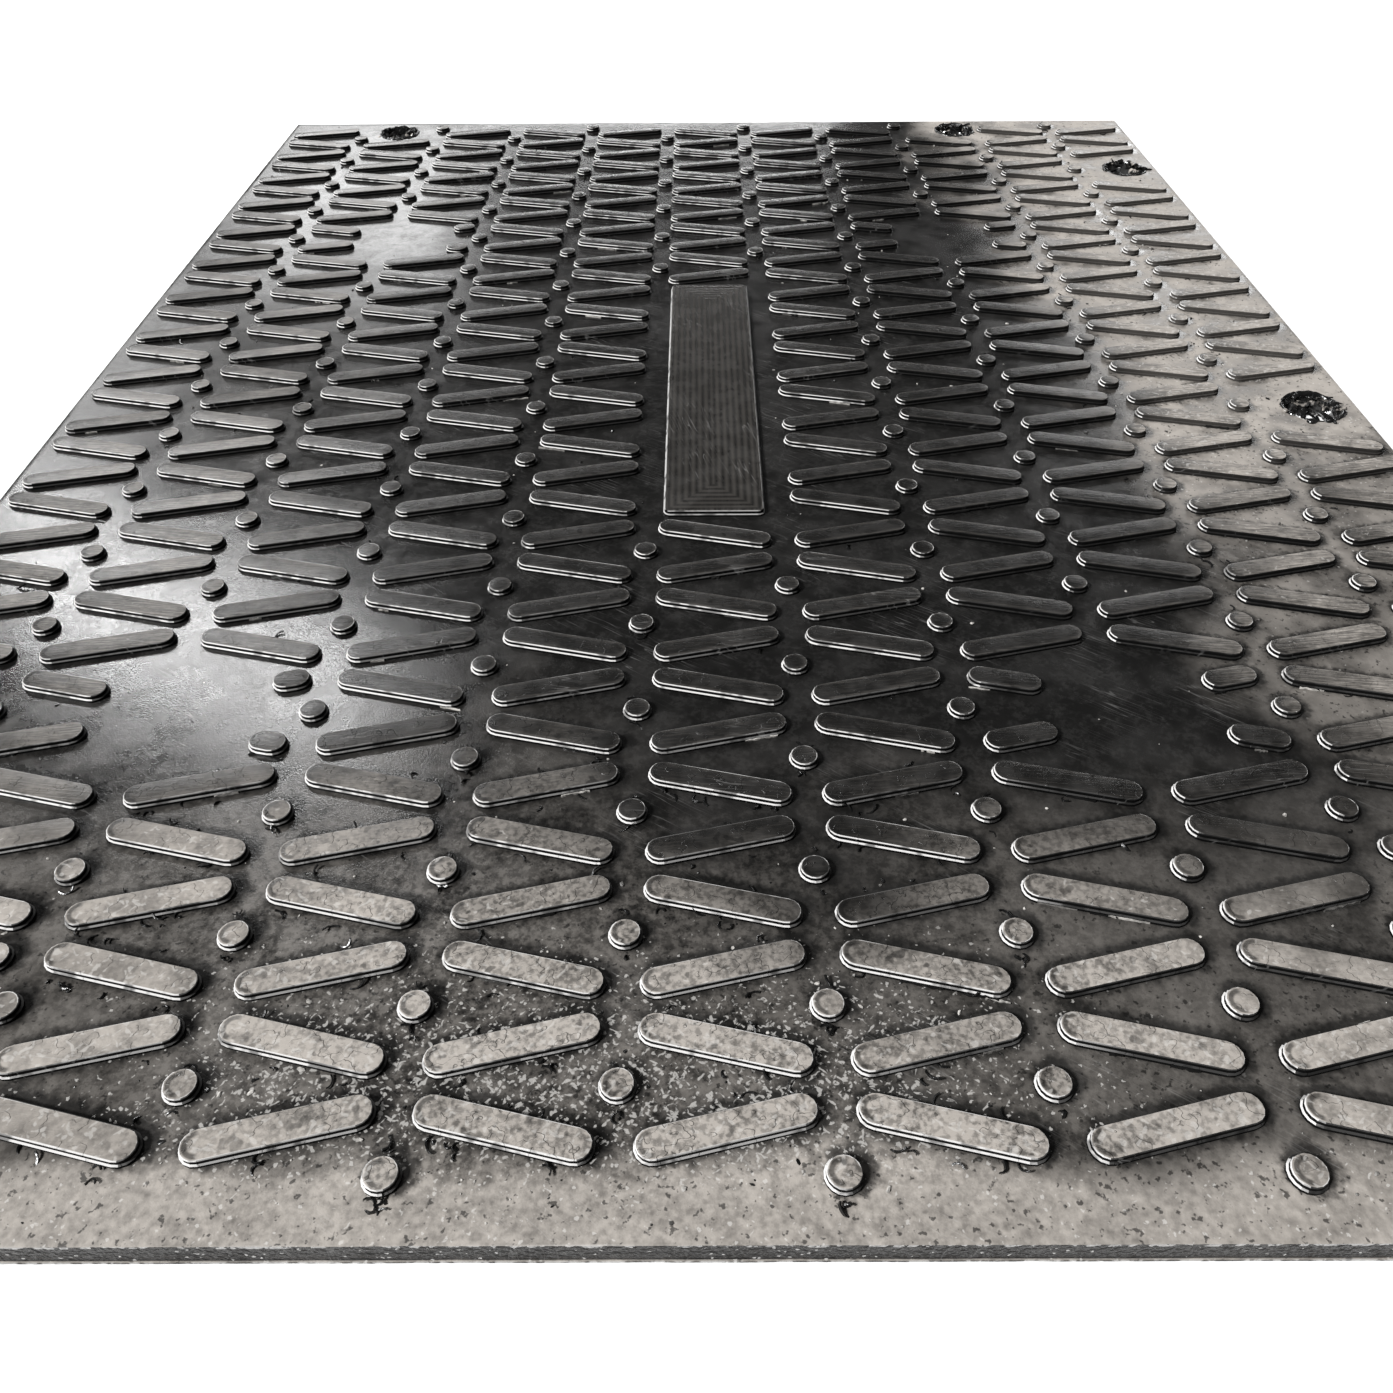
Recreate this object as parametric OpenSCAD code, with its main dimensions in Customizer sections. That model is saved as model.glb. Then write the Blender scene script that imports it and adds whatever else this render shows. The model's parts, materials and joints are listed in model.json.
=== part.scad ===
// Ground protection mat: one moulded sheet with a herringbone tread of long
// cleats and round studs on its top face, a bare raised plate in the middle,
// four blank panels in the tread and four connection holes near two edges.
// X runs across the mat, Y along it, and the underside lies on Z = 0.

/* [Sheet] */
// Width of the mat
mat_w = 1500; // [1300:10:1700]
// Length of the mat
mat_l = 2000; // [1700:10:2300]
// Thickness of the sheet below the tread
sheet_t = 25; // [10:1:40]

/* [Tread grid] */
// Distance from one column of cleats to the next, across the mat
column_pitch = 136; // [128:1:150]
// Distance from one row of cleats to the next, along the mat
row_pitch = 56.5; // [50:0.5:64]
// Least distance from a side edge to the middle of the outer column
side_margin = 60; // [58:1:120]
// Least distance from an end edge to the middle of the outer row
end_margin = 60; // [45:1:120]
// Height of cleats, studs and plate above the sheet
tread_h = 6; // [4:0.5:12]
// Height of the wider foot round each raised shape
foot_h = 2.5; // [1:0.5:2.5]
// How far the foot stands out all round
foot_out = 1.2; // [0.5:0.1:3]
// Bevel round the top faces
top_bevel = 1; // [0.2:0.1:1.5]
// Free space kept between the tread and a hole or the plate
tread_clear = 4; // [2:0.5:6]

/* [Cleats] */
// Length of a cleat above its foot, with its round ends
cleat_l = 114; // [80:1:116]
// Width of a cleat above its foot
cleat_w = 21.5; // [12:0.5:26]
// Turn of a cleat away from the mat's width, in degrees
cleat_tilt = 13.5; // [0:0.5:20]
// Shortest cleat that is still made beside a blank panel
cleat_l_min = 24; // [20:1:40]

/* [Studs] */
// Diameter of a stud above its foot
stud_d = 22; // [10:0.5:24]

/* [Middle plate] */
// Width of the raised plate
plate_w = 102; // [80:1:104]
// Length of the raised plate
plate_l = 550; // [300:10:900]
// Radius of the plate's corners
plate_corner = 6; // [2:1:20]

/* [Blank panels and holes] */
// Sideways offset of panels and end holes from the mat's middle
layout_x = -53; // [-70:1:20]
// Lengthwise offset of panels and side holes from the mat's middle
layout_y = -56.5; // [-70:0.5:0]
// Distance between the panels, across the mat
panel_step_x = 800; // [780:5:820]
// Distance between the panels, along the mat
panel_step_y = 1000; // [980:5:1020]
// Width of a blank panel
panel_w = 140; // [120:1:150]
// Length of a blank panel
panel_l = 113; // [100:1:120]
// Diameter of a connection hole
hole_d = 66; // [40:1:70]
// Distance from a hole's middle to the nearest edge of the mat
hole_inset = 52; // [45:1:60]
// Distance between the two holes at the far edge
end_hole_step = 1000; // [900:10:1050]
// Distance between the two holes at the right-hand edge
side_hole_step = 800; // [700:10:850]

/* [Hidden] */
$fn = 32;
mat_black = "#3b3b3a";

// Columns on each side of the middle one, and the number of rows
side_columns = floor((mat_w / 2 - side_margin) / column_pitch);
row_count = floor((mat_l - 2 * end_margin) / row_pitch) + 1;

cap_h = tread_h - foot_h;
cleat_r = cleat_w / 2;
stud_r = stud_d / 2;
hole_r = hole_d / 2;
// Distance from a cleat's middle to the middle of its round end
cleat_reach = cleat_l / 2 - cleat_r;
// Half the width and half the length of the box round a tilted cleat's foot
cleat_half_x = cleat_reach * cos(cleat_tilt) + cleat_r + foot_out;
cleat_half_y = cleat_reach * sin(cleat_tilt) + cleat_r + foot_out;

function column_x(c) = c * column_pitch;
function row_y(r) = (r - (row_count + 1) / 2) * row_pitch;

plate_box = [0, 0, plate_w / 2 + foot_out, plate_l / 2 + foot_out];
holes = [
    [mat_w / 2 - hole_inset, layout_y],
    [mat_w / 2 - hole_inset, layout_y + side_hole_step],
    [layout_x - end_hole_step / 2, mat_l / 2 - hole_inset],
    [layout_x + end_hole_step / 2, mat_l / 2 - hole_inset],
];
hole_boxes = [for (h = holes) [h.x, h.y, hole_r, hole_r]];
panels = [
    for (sx = [-1, 1], sy = [-1, 1])
        [layout_x + sx * panel_step_x / 2, layout_y + sy * panel_step_y / 2, panel_w / 2, panel_l / 2],
];

// Whether a shape at x, y with these half sizes comes nearer than gap to a box
function meets(x, y, half_x, half_y, box, gap) =
    abs(x - box[0]) < half_x + box[2] + gap && abs(y - box[1]) < half_y + box[3] + gap;
function meets_any(x, y, half_x, half_y, boxes, gap) =
    len([for (b = boxes) if (meets(x, y, half_x, half_y, b, gap)) 1]) > 0;

// Where a cleat in row y starts and ends, as distances of its end middles from x
function cleat_span(x, y) = let (
    reach = cleat_reach * cos(cleat_tilt),
    cuts = [for (p = panels) if (abs(y - p[1]) < p[3]) p],
    right_cuts = [for (p = cuts) if (p[0] > x) p[0] - p[2] - x - cleat_r],
    left_cuts = [for (p = cuts) if (p[0] <= x) p[0] + p[2] - x + cleat_r]
) [max(concat([-reach], left_cuts)), min(concat([reach], right_cuts))];

// Half the section of a raised shape above its foot: upright side and bevel
function cap_points(r) = [
    [0, 0],
    [r, 0],
    [r, cap_h - top_bevel],
    [r - top_bevel, cap_h],
    [0, cap_h],
];

module round_cap(r) {
    rotate_extrude()
        polygon(cap_points(r));
}

// A straight bar of that section, lying along X from a to b
module cap_bar(r, a, b) {
    translate([a, 0, 0])
        rotate([90, 0, 90])
            linear_extrude(b - a)
                union() {
                    polygon(cap_points(r));
                    mirror([1, 0])
                        polygon(cap_points(r));
                }
}

// The foot's outline round a cleat whose end middles lie at a and b
module foot_outline(r, a, b) {
    translate([a, -r])
        square([b - a, 2 * r]);
    for (x = [a, b])
        translate([x, 0])
            circle(r);
}

module cleat(a, b) {
    linear_extrude(foot_h)
        foot_outline(cleat_r + foot_out, a, b);
    translate([0, 0, foot_h]) {
        cap_bar(cleat_r, a, b);
        for (x = [a, b])
            translate([x, 0, 0])
                round_cap(cleat_r);
    }
}

module stud() {
    cylinder(h = foot_h, r = stud_r + foot_out);
    translate([0, 0, foot_h])
        round_cap(stud_r);
}

module cleats() {
    for (c = [-side_columns : side_columns], r = [1 : row_count]) {
        x = column_x(c);
        y = row_y(r);
        lean = (c + r) % 2 == 0 ? -cleat_tilt : cleat_tilt;
        span = cleat_span(x, y) / cos(cleat_tilt);
        long_enough = span[1] - span[0] + cleat_w >= cleat_l_min;
        in_the_way = meets_any(x, y, cleat_half_x, cleat_half_y, concat([plate_box], hole_boxes), tread_clear);
        if (long_enough && !in_the_way)
            translate([x, y, 0])
                rotate([0, 0, lean])
                    cleat(span[0], span[1]);
    }
}

module studs() {
    foot_r = stud_r + foot_out;
    for (c = [-side_columns : side_columns - 1], r = [0 : row_count]) {
        x = column_x(c + 0.5);
        y = row_y(r + 0.5);
        in_the_way = meets_any(x, y, foot_r, foot_r, concat([plate_box], hole_boxes), tread_clear)
            || meets_any(x, y, foot_r, foot_r, panels, 0);
        if ((c + r) % 2 == 0 && !in_the_way)
            translate([x, y, 0])
                stud();
    }
}

module round_rectangle(w, l, r) {
    square([w - 2 * r, l], center = true);
    square([w, l - 2 * r], center = true);
    for (sx = [-1, 1], sy = [-1, 1])
        translate([sx * (w / 2 - r), sy * (l / 2 - r)])
            circle(r);
}

module middle_plate() {
    corner_x = plate_w / 2 - plate_corner;
    corner_y = plate_l / 2 - plate_corner;
    linear_extrude(foot_h)
        round_rectangle(plate_w + 2 * foot_out, plate_l + 2 * foot_out, plate_corner + foot_out);
    translate([0, 0, foot_h]) {
        cap_bar(plate_l / 2, -corner_x, corner_x);
        rotate([0, 0, 90])
            cap_bar(plate_w / 2, -corner_y, corner_y);
        for (x = [-corner_x, corner_x], y = [-corner_y, corner_y])
            translate([x, y, 0])
                round_cap(plate_corner);
    }
}

module sheet() {
    linear_extrude(sheet_t)
        difference() {
            square([mat_w, mat_l], center = true);
            for (h = holes)
                translate(h)
                    circle(hole_r);
        }
}

module ground_mat() {
    color(mat_black) {
        sheet();
        translate([0, 0, sheet_t]) {
            cleats();
            studs();
            middle_plate();
        }
    }
}

ground_mat();
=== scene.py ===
import json
import math
import random

import bpy
import numpy as np
from mathutils import Euler, Matrix, Vector, noise

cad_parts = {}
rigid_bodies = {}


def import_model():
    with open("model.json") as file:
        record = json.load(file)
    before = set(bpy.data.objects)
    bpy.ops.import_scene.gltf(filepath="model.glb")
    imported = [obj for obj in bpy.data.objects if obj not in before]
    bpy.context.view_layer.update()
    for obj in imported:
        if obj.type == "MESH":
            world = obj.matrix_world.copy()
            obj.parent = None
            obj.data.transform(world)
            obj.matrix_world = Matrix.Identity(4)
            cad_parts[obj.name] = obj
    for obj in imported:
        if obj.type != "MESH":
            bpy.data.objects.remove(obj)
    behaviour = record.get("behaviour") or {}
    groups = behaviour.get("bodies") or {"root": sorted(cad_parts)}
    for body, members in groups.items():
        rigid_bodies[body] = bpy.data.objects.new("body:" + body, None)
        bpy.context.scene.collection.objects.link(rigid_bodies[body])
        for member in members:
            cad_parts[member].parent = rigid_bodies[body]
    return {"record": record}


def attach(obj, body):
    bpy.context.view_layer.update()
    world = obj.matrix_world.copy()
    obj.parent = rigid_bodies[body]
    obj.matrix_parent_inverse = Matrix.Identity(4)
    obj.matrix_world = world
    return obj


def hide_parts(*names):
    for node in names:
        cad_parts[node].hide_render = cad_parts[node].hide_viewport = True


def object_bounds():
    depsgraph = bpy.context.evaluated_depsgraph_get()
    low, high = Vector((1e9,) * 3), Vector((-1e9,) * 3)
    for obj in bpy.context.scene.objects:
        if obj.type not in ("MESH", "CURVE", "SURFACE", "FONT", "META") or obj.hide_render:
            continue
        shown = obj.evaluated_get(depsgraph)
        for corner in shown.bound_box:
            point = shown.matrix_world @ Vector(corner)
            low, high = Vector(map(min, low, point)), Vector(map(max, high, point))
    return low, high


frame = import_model()
cadLow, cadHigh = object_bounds()
print("frame loaded")

# Lengths are in metres and angles in degrees
mat = {
    "columnPitch": 0.136,
    "rowPitch": 0.0565,
    "sideColumns": 5,
    "rows": 34,
    "treadHeight": 0.006,
    "footHeight": 0.0025,
    "footOut": 0.0012,
    "freeSpace": 0.004,
    "layoutMiddle": (-0.053, -0.0565),
    "panelStep": (0.8, 1.0),
    "panelSize": (0.140, 0.113),
    "plateSize": (0.102, 0.550),
    "sunk": 0.0015,  # how deep the tread's feet reach into the sheet
    "ledgeFall": 0.0008,  # how far the ledge round each shape falls towards its outer edge
}
halfWidth, halfLength = cadHigh.x, cadHigh.y
sheetTop = cadHigh.z - mat["treadHeight"]
footTop = sheetTop + mat["footHeight"]
holes = [
    (mount["pos_m"][0], mount["pos_m"][1], mount["dims"]["r_mm"] / 1000)
    for mount in frame["record"]["mounts"]
    if mount["kind"] == "bore"
]


# Small helpers for modelling

def clearSelection():
    if bpy.context.object and bpy.context.object.mode != "OBJECT":
        bpy.ops.object.mode_set(mode="OBJECT")
    bpy.ops.object.select_all(action="DESELECT")


def selectOnly(piece):
    clearSelection()
    piece.select_set(True)
    bpy.context.view_layer.objects.active = piece


def pickFaces(piece, wanted):  # leaves edit mode on, with the wanted faces selected
    bpy.ops.object.mode_set(mode="EDIT")
    bpy.ops.mesh.select_mode(type="FACE")
    bpy.ops.mesh.select_all(action="DESELECT")
    bpy.ops.object.mode_set(mode="OBJECT")
    for face in piece.data.polygons:
        face.select = wanted(face.center, face.normal)
    bpy.ops.object.mode_set(mode="EDIT")


def pickEdges(piece, wanted):  # the same for edges, by their two ends
    bpy.ops.object.mode_set(mode="EDIT")
    bpy.ops.mesh.select_mode(type="EDGE")
    bpy.ops.mesh.select_all(action="DESELECT")
    bpy.ops.object.mode_set(mode="OBJECT")
    points = piece.data.vertices
    for edge in piece.data.edges:
        edge.select = wanted(points[edge.vertices[0]].co, points[edge.vertices[1]].co)
    bpy.ops.object.mode_set(mode="EDIT")


def extrudeBy(step):
    bpy.ops.mesh.extrude_region_move(TRANSFORM_OT_translate={"value": step})


def applyModifiers(piece):
    selectOnly(piece)
    for modifier in list(piece.modifiers):
        bpy.ops.object.modifier_apply(modifier=modifier.name)


def smoothEdges(piece, angle):  # rounded edges shade softly and flat faces stay flat
    selectOnly(piece)
    bpy.ops.object.shade_smooth_by_angle(angle=math.radians(angle))
    weighted = piece.modifiers.new("faceWeights", "WEIGHTED_NORMAL")
    weighted.keep_sharp = True
    applyModifiers(piece)


def settle(piece, *materials):  # the last step of every piece
    selectOnly(piece)
    bpy.ops.object.transform_apply(location=True, rotation=True, scale=True)
    for material in materials:
        piece.data.materials.append(material)
    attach(piece, "root")
    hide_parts("ground_mat")
    clearSelection()


def joinCopies(name, blank, places, reach=0.0, jitter=0.0, seed=1):
    # One mesh from many copies of a blank. A place has a matrix, a tone and for a cleat its two ends.
    draw = np.random.default_rng(seed)
    points = np.array([vertex.co for vertex in blank.data.vertices])
    faces = [list(face.vertices) for face in blank.data.polygons]
    left, right = points[:, 0] < 0, points[:, 0] > 0
    allPoints, allFaces, flatPlaces, tones, reaches = [], [], [], [], []
    for number, place in enumerate(places):
        shaped = points.copy()
        start, end = place.get("ends", (-reach, reach))
        shaped[left, 0] += start + reach
        shaped[right, 0] += end - reach
        flat = shaped[:, :2].copy()
        flat[:, 0] -= (start + end) / 2
        shaped += draw.uniform(-jitter, jitter, shaped.shape)
        turn = np.array(place["matrix"])
        allPoints.append(shaped @ turn[:3, :3].T + turn[:3, 3])
        allFaces += [[index + number * len(points) for index in face] for face in faces]
        flatPlaces.append(flat)
        tones.append(np.full(len(points), place["tone"]))
        reaches.append(np.full(len(points), (end - start) / 2))
    mesh = bpy.data.meshes.new(name)
    mesh.from_pydata(np.concatenate(allPoints).tolist(), [], allFaces)
    for key, values in (("tone", tones), ("halfReach", reaches)):
        mesh.attributes.new(key, "FLOAT", "POINT").data.foreach_set("value", np.concatenate(values))
    flatPlaces = np.concatenate(flatPlaces)
    corners = np.zeros(len(mesh.loops), int)
    mesh.loops.foreach_get("vertex_index", corners)
    mesh.uv_layers.new(name="topFace").data.foreach_set("uv", flatPlaces[corners].ravel())
    piece = bpy.data.objects.new(name, mesh)
    bpy.context.scene.collection.objects.link(piece)
    bpy.data.objects.remove(blank)
    return piece


# Where the tread's shapes stand

def columnX(column):
    return column * mat["columnPitch"]


def rowY(row):
    return (row - (mat["rows"] + 1) / 2) * mat["rowPitch"]


panels = [
    (
        mat["layoutMiddle"][0] + sideX * mat["panelStep"][0] / 2,
        mat["layoutMiddle"][1] + sideY * mat["panelStep"][1] / 2,
        mat["panelSize"][0] / 2,
        mat["panelSize"][1] / 2,
    )
    for sideX in (-1, 1)
    for sideY in (-1, 1)
]
plateBox = (0, 0, mat["plateSize"][0] / 2 + mat["footOut"], mat["plateSize"][1] / 2 + mat["footOut"])
keepOut = [plateBox] + [(x, y, radius, radius) for x, y, radius in holes]


def meets(x, y, halfX, halfY, boxes, gap):
    return any(
        abs(x - box[0]) < halfX + box[2] + gap and abs(y - box[1]) < halfY + box[3] + gap
        for box in boxes
    )


# The cleats, long bars that lean by turns

cleat = {
    "length": 0.114,
    "width": 0.0215,
    "tilt": 13.5,
    "shortest": 0.024,
    "quarterSteps": 4,
    "rounding": 0.0007,
    "unevenness": 0.00008,
}


def makeCleatBlank():
    footWidth = cleat["width"] + 2 * mat["footOut"]
    footLength = cleat["length"] + 2 * mat["footOut"]
    footDepth = mat["footHeight"] + mat["sunk"] - mat["ledgeFall"]
    clearSelection()
    bpy.ops.mesh.primitive_cube_add(size=1, location=(0, 0, sheetTop - mat["sunk"] + footDepth / 2))
    blank = bpy.context.object
    bpy.ops.object.mode_set(mode="EDIT")
    bpy.ops.transform.resize(value=(footLength, footWidth, footDepth))
    bpy.ops.object.mode_set(mode="OBJECT")
    bpy.ops.object.transform_apply(location=True, rotation=True, scale=True)
    pickEdges(blank, lambda a, b: abs(a.x - b.x) + abs(a.y - b.y) < 1e-6)
    bpy.ops.mesh.bevel(offset=footWidth / 2 - 1e-5, segments=cleat["quarterSteps"], affect="EDGES")
    bpy.ops.mesh.select_all(action="SELECT")
    bpy.ops.mesh.remove_doubles(threshold=1e-4)
    raiseCap(blank)
    return blank


def raiseCap(blank):  # the ledge, the upright side and the rounded top edge of a raised shape
    pickFaces(blank, lambda middle, normal: normal.z > 0.9)
    bpy.ops.mesh.inset(thickness=mat["footOut"], depth=mat["ledgeFall"])
    extrudeBy((0, 0, cadHigh.z - footTop))
    bpy.ops.object.mode_set(mode="OBJECT")
    pickEdges(blank, lambda a, b: min(a.z, b.z) > cadHigh.z - 1e-5)
    bpy.ops.mesh.bevel(offset=cleat["rounding"], segments=1, affect="EDGES")
    bpy.ops.object.mode_set(mode="OBJECT")


def cleatEnds(x, y):
    lean = math.cos(math.radians(cleat["tilt"]))
    radius = cleat["width"] / 2
    reach = (cleat["length"] / 2 - radius) * lean
    start, end = -reach, reach
    for middleX, middleY, halfX, halfY in panels:
        if abs(y - middleY) < halfY:
            if middleX > x:
                end = min(end, middleX - halfX - x - radius)
            else:
                start = max(start, middleX + halfX - x + radius)
    return start / lean, end / lean


def makeCleats():
    draw = random.Random(11)
    radius = cleat["width"] / 2
    reach = cleat["length"] / 2 - radius
    tilt = math.radians(cleat["tilt"])
    halfX = reach * math.cos(tilt) + radius + mat["footOut"]
    halfY = reach * math.sin(tilt) + radius + mat["footOut"]
    places = []
    for column in range(-mat["sideColumns"], mat["sideColumns"] + 1):
        for row in range(1, mat["rows"] + 1):
            x, y = columnX(column), rowY(row)
            ends = cleatEnds(x, y)
            longEnough = ends[1] - ends[0] + cleat["width"] >= cleat["shortest"]
            if longEnough and not meets(x, y, halfX, halfY, keepOut, mat["freeSpace"]):
                turn = -tilt if (column + row) % 2 == 0 else tilt
                matrix = Matrix.Translation((x, y, 0)) @ Matrix.Rotation(turn, 4, "Z")
                place = {"matrix": matrix, "ends": ends, "radius": radius + mat["footOut"], "tone": draw.random()}
                places.append(place)
    piece = joinCopies("tread_cleats", makeCleatBlank(), places, reach, cleat["unevenness"])
    smoothEdges(piece, 50)
    print("cleats made", len(places))
    return piece, places


# The studs between the columns

stud = {
    "diameter": 0.022,
    "sides": 18,
}


def makeStuds():
    draw = random.Random(12)
    footRadius = stud["diameter"] / 2 + mat["footOut"]
    footDepth = mat["footHeight"] + mat["sunk"] - mat["ledgeFall"]
    clearSelection()
    bpy.ops.mesh.primitive_cylinder_add(
        vertices=stud["sides"], radius=footRadius, depth=footDepth, location=(0, 0, sheetTop - mat["sunk"] + footDepth / 2)
    )
    blank = bpy.context.object
    bpy.ops.object.transform_apply(location=True, rotation=True, scale=True)
    raiseCap(blank)
    places = []
    for column in range(-mat["sideColumns"], mat["sideColumns"]):
        for row in range(mat["rows"] + 1):
            x, y = columnX(column + 0.5), rowY(row + 0.5)
            blocked = meets(x, y, footRadius, footRadius, keepOut, mat["freeSpace"])
            blocked = blocked or meets(x, y, footRadius, footRadius, panels, 0)
            if (column + row) % 2 == 0 and not blocked:
                place = {"matrix": Matrix.Translation((x, y, 0)), "ends": (0, 0), "radius": footRadius}
                places.append({**place, "tone": draw.random()})
    piece = joinCopies("tread_studs", blank, places, 0.0, cleat["unevenness"], 2)
    smoothEdges(piece, 50)
    print("studs made", len(places))
    return piece, places


# The bare plate in the middle, with the cutter's marks of its mould

plate = {
    "corner": 0.006,
    "cornerSteps": 4,
    "markStep": 0.0074,
    "markDepth": 0.00014,
}


def makePlate():
    width = mat["plateSize"][0] + 2 * mat["footOut"]
    length = mat["plateSize"][1] + 2 * mat["footOut"]
    footDepth = mat["footHeight"] + mat["sunk"] - mat["ledgeFall"]
    clearSelection()
    bpy.ops.mesh.primitive_cube_add(size=1, location=(0, 0, sheetTop - mat["sunk"] + footDepth / 2))
    piece = bpy.context.object
    piece.name = "middle_plate"
    bpy.ops.object.mode_set(mode="EDIT")
    bpy.ops.transform.resize(value=(width, length, footDepth))
    bpy.ops.object.mode_set(mode="OBJECT")
    bpy.ops.object.transform_apply(location=True, rotation=True, scale=True)
    pickEdges(piece, lambda a, b: abs(a.x - b.x) + abs(a.y - b.y) < 1e-6)
    bpy.ops.mesh.bevel(
        offset=plate["corner"] + mat["footOut"], segments=plate["cornerSteps"], affect="EDGES"
    )
    raiseCap(piece)
    smoothEdges(piece, 50)
    print("plate made")
    return piece


# The sheet, with wavy faces and worn edges

sheet = {
    "cell": 0.0061,
    "holeSides": 64,
    "waveSize": 0.16,
    "waveHeight": 0.0007,
    "rippleSize": 0.028,
    "rippleHeight": 0.00016,
    # depth below the top and distance inside the full outline, down the side
    "sideProfile": ((0.0006, 0.0001), (0.006, 0.0004), (0.0125, 0.0006), (0.019, 0.0008), (0.0222, 0.0009),
                    (0.0230, 0.0), (0.0244, 0.0), (0.025, 0.0004)),
    "topEdgeInset": 0.0008,
    "raggedness": 0.0007,
}


def cutHoles(piece):
    clearSelection()
    for x, y, radius in holes:
        bpy.ops.mesh.primitive_cylinder_add(
            vertices=sheet["holeSides"], radius=radius, depth=4 * sheetTop, location=(x, y, 0)
        )
    cutters = [o for o in bpy.context.scene.objects if o.name.startswith("Cylinder")]
    clearSelection()
    for cutter in cutters:
        cutter.select_set(True)
    bpy.context.view_layer.objects.active = cutters[0]
    bpy.ops.object.join()
    cutter = bpy.context.object
    cut = piece.modifiers.new("holes", "BOOLEAN")
    cut.operation = "DIFFERENCE"
    cut.solver = "EXACT"
    cut.object = cutter
    applyModifiers(piece)
    bpy.data.objects.remove(cutter)


def waveTop(piece):
    group = piece.vertex_groups.new(name="top")
    group.add([v.index for v in piece.data.vertices if v.co.z > sheetTop - 1e-5], 1.0, "REPLACE")
    for size, height in (("waveSize", "waveHeight"), ("rippleSize", "rippleHeight")):
        clouds = bpy.data.textures.new(size, "CLOUDS")
        clouds.noise_scale = sheet[size]
        wave = piece.modifiers.new(size, "DISPLACE")
        wave.texture = clouds
        wave.texture_coords = "LOCAL"
        wave.direction = "Z"
        wave.vertex_group = "top"
        wave.strength = sheet[height]
        wave.mid_level = 1.0  # only down, so that the sheet stays within its height
    applyModifiers(piece)


def wearSides(piece):  # draws the side faces in to their profile, unevenly
    levels = [(0.0, sheet["topEdgeInset"]), *sheet["sideProfile"]]
    for vertex in piece.data.vertices:
        atSide = abs(vertex.co.x) > halfWidth - 1e-5
        atEnd = abs(vertex.co.y) > halfLength - 1e-5
        if not (atSide or atEnd):
            continue
        depth = sheetTop - vertex.co.z
        inset = min(levels, key=lambda level: abs(level[0] - depth))[1]
        place = vertex.co.copy()
        place.z *= 4
        inset += sheet["raggedness"] * (0.5 + 0.5 * noise.noise(place * 90)) * (0.4 + abs(noise.noise(place * 9)))
        if atSide:
            vertex.co.x = math.copysign(halfWidth - inset, vertex.co.x)
        if atEnd:
            vertex.co.y = math.copysign(halfLength - inset, vertex.co.y)


def makeSheet():
    size = cadHigh - cadLow
    clearSelection()
    bpy.ops.mesh.primitive_grid_add(
        x_subdivisions=round(size.x / sheet["cell"]), y_subdivisions=round(size.y / sheet["cell"]), size=1
    )
    piece = bpy.context.object
    piece.name = "mat_sheet"
    bpy.ops.object.mode_set(mode="EDIT")
    bpy.ops.mesh.select_all(action="SELECT")
    bpy.ops.transform.resize(value=(size.x, size.y, 1))
    bpy.ops.transform.translate(value=(0, 0, sheetTop))
    bpy.ops.mesh.region_to_loop()
    done = 0.0
    for depth, inset in sheet["sideProfile"]:
        extrudeBy((0, 0, done - depth))
        done = depth
    bpy.ops.mesh.edge_face_add()
    bpy.ops.object.mode_set(mode="OBJECT")
    cutHoles(piece)
    wearSides(piece)
    waveTop(piece)
    selectOnly(piece)
    bpy.ops.object.shade_smooth_by_angle(angle=math.radians(50))
    print("sheet made", len(piece.data.polygons))
    return piece


# Loose matter: linings of the holes, shavings, flash and crumbs

litter = {
    "liningThickness": 0.0042,
    "liningStretch": 2.9,  # how much taller than thick a lining is
    "lumpSize": 0.012,
    "lumpHeight": 0.0075,
    "shredsAtHole": 34,
    "blobsAtHole": 9,
    "wallLumps": 9,
    "curls": 300,
    "flashStrips": 190,
    "crumbs": 900,
}


def treadGap(points, places, shift=(0, 0)):  # how far points on the sheet lie from the nearest foot
    centres = np.array([place["matrix"].translation.xy for place in places]) + shift
    turns = np.array([np.array(place["matrix"])[:2, 0] for place in places])
    starts = np.array([place["ends"][0] for place in places])
    stops = np.array([place["ends"][1] for place in places])
    radii = np.array([place["radius"] for place in places])
    gaps = []
    for part in np.array_split(points, 1 + len(points) // 3000):
        away = part[:, None, :2] - centres
        along = away[..., 0] * turns[:, 0] + away[..., 1] * turns[:, 1]
        across = away[..., 1] * turns[:, 0] - away[..., 0] * turns[:, 1]
        along -= np.clip(along, starts, stops)
        gaps.append((np.hypot(along, across) - radii).min(axis=1))
    beyond = np.maximum(abs(points[:, :2]) - plateBox[2:], 0)
    return np.minimum(np.concatenate(gaps), np.hypot(beyond[:, 0], beyond[:, 1]))


def markFootShadowGap(piece, places):  # the gap to the feet, shifted right and back, kept on the sheet's points for the painted contact shadow of its material
    points = np.array([vertex.co for vertex in piece.data.vertices])
    gap = np.minimum(treadGap(points, places, (0.0045, 0.004)), 0.04)
    piece.data.attributes.new("treadGap", "FLOAT", "POINT").data.foreach_set("value", gap)


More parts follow.
